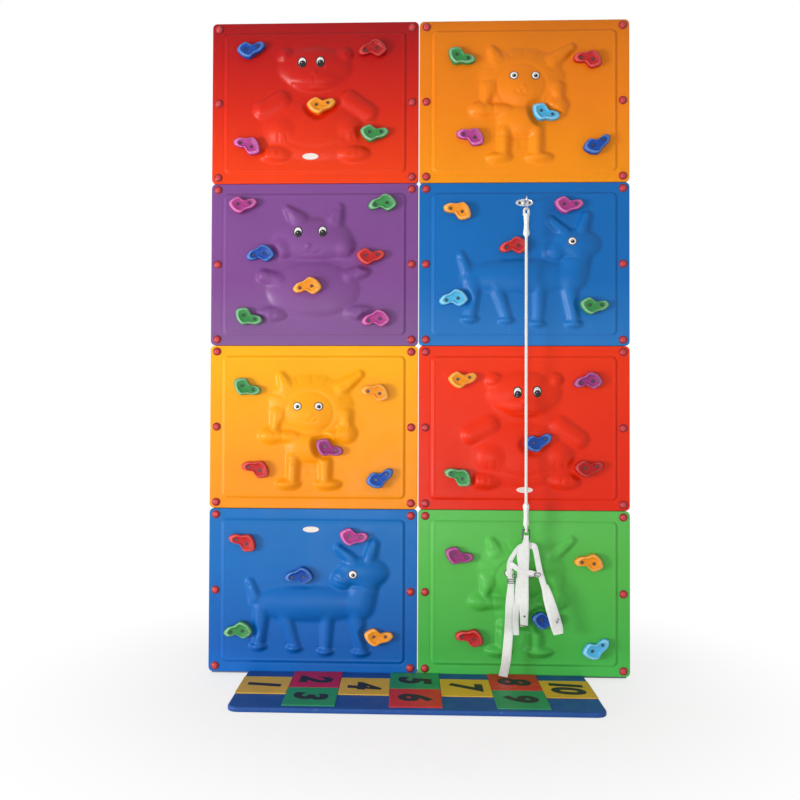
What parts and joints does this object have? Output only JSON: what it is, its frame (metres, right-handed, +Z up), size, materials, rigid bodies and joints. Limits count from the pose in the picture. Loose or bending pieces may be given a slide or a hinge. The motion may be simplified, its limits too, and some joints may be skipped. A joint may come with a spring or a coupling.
{
  "type": "climbing wall",
  "caption": "Modular climbing wall of coloured animal relief panels with bolt-on holds on a steel frame, a safety rope, a webbing harness and a numbered landing mat.",
  "frame": {"origin": "on the floor, at the middle of the frame's width, in the plane of the uprights' centre lines, on the underside of the steel sill", "axes": "+Z up; +X to the climber's right; -Y towards the climber, so +Y points at the building's wall"},
  "size_m": [2.305, 0.7456, 3.618],
  "materials": {
    "carabiner_steel": "dark semi-gloss coating",
    "gate_steel": "dark semi-gloss coating",
    "link_steel": "zinc plated, dull",
    "buckle_steel": "dark semi-gloss coating",
    "leg_pad_webbing": "padded flat webbing",
    "harness_webbing": "flat woven webbing",
    "hold_red": "cast resin, fine grit",
    "hold_magenta": "cast resin, fine grit",
    "hold_blue": "cast resin, fine grit",
    "hold_green": "cast resin, fine grit",
    "hold_orange": "cast resin, fine grit",
    "hold_purple": "cast resin, fine grit",
    "hold_light_blue": "cast resin, fine grit",
    "hold_dark_red": "cast resin, fine grit",
    "mat_foam": "matt, printed in several colours",
    "pad_eye_steel": "bright plated",
    "panel_blue": "moulded, semi-gloss",
    "panel_green": "moulded, semi-gloss",
    "panel_yellow": "moulded, semi-gloss",
    "panel_red": "moulded, semi-gloss",
    "panel_purple": "moulded, semi-gloss",
    "panel_orange": "moulded, semi-gloss",
    "rope_fibre": "braided cord",
    "frame_paint": "satin paint, red plastic-capped nuts"
  },
  "bodies": {
    "wall": {"wall_frame": "frame_paint", "landing_mat": "mat_foam", "pad_eye": "pad_eye_steel", "panel_row1_left_blue": "panel_blue", "panel_row1_right_green": "panel_green", "panel_row2_left_yellow": "panel_yellow", "panel_row2_right_red": "panel_red", "panel_row3_left_purple": "panel_purple", "panel_row3_right_blue": "panel_blue", "panel_row4_left_red": "panel_red", "panel_row4_right_orange": "panel_orange", "hold_row1_left_1_red": "hold_red", "hold_row1_left_2_magenta": "hold_magenta", "hold_row1_left_3_blue": "hold_blue", "hold_row1_left_4_green": "hold_green", "hold_row1_left_5_orange": "hold_orange", "hold_row1_right_1_purple": "hold_purple", "hold_row1_right_2_orange": "hold_orange", "hold_row1_right_3_blue": "hold_blue", "hold_row1_right_4_red": "hold_red", "hold_row1_right_5_light_blue": "hold_light_blue", "hold_row2_left_1_green": "hold_green", "hold_row2_left_2_orange": "hold_orange", "hold_row2_left_3_purple": "hold_purple", "hold_row2_left_4_red": "hold_red", "hold_row2_left_5_blue": "hold_blue", "hold_row2_right_1_orange": "hold_orange", "hold_row2_right_2_purple": "hold_purple", "hold_row2_right_3_blue": "hold_blue", "hold_row2_right_4_green": "hold_green", "hold_row2_right_5_dark_red": "hold_dark_red", "hold_row3_left_1_magenta": "hold_magenta", "hold_row3_left_2_green": "hold_green", "hold_row3_left_3_blue": "hold_blue", "hold_row3_left_4_red": "hold_red", "hold_row3_left_5_orange": "hold_orange", "hold_row3_left_6_green": "hold_green", "hold_row3_left_7_magenta": "hold_magenta", "hold_row3_right_1_orange": "hold_orange", "hold_row3_right_2_magenta": "hold_magenta", "hold_row3_right_3_red": "hold_red", "hold_row3_right_4_light_blue": "hold_light_blue", "hold_row3_right_5_green": "hold_green", "hold_row4_left_1_blue": "hold_blue", "hold_row4_left_2_dark_red": "hold_dark_red", "hold_row4_left_3_orange": "hold_orange", "hold_row4_left_4_green": "hold_green", "hold_row4_left_5_magenta": "hold_magenta", "hold_row4_right_1_green": "hold_green", "hold_row4_right_2_red": "hold_red", "hold_row4_right_3_light_blue": "hold_light_blue", "hold_row4_right_4_magenta": "hold_magenta", "hold_row4_right_5_blue": "hold_blue"},
    "link": {"hanging_link": "link_steel"},
    "rope": {"safety_rope": "rope_fibre"},
    "harness": {"carabiner": "carabiner_steel", "harness_webbing": "harness_webbing", "harness_leg_pad": "leg_pad_webbing", "harness_buckle": "buckle_steel"},
    "gate": {"carabiner_gate": "gate_steel"}
  },
  "joints": [
    {"name": "link_swing", "type": "hinge", "parent": "wall", "child": "link", "pos_m": [0.5775, -0.1663, 2.5982], "axis": [-1, 0, 0], "range_deg": [0, 60]},
    {"name": "rope_sway", "type": "hinge", "parent": "link", "child": "rope", "pos_m": [0.5775, -0.1663, 2.5422], "axis": [0, 1, 0], "range_deg": [-12, 12]},
    {"name": "harness_swing", "type": "hinge", "parent": "rope", "child": "harness", "pos_m": [0.5775, -0.1663, 0.827], "axis": [-1, 0, 0], "range_deg": [0, 45]},
    {"name": "gate_hinge", "type": "hinge", "parent": "harness", "child": "gate", "pos_m": [0.5965, -0.1663, 0.785], "axis": [0, -1, 0], "range_deg": [0, 14], "stiffness_Nm_per_rad": 0.3, "springref_deg": -11.46}
  ]
}
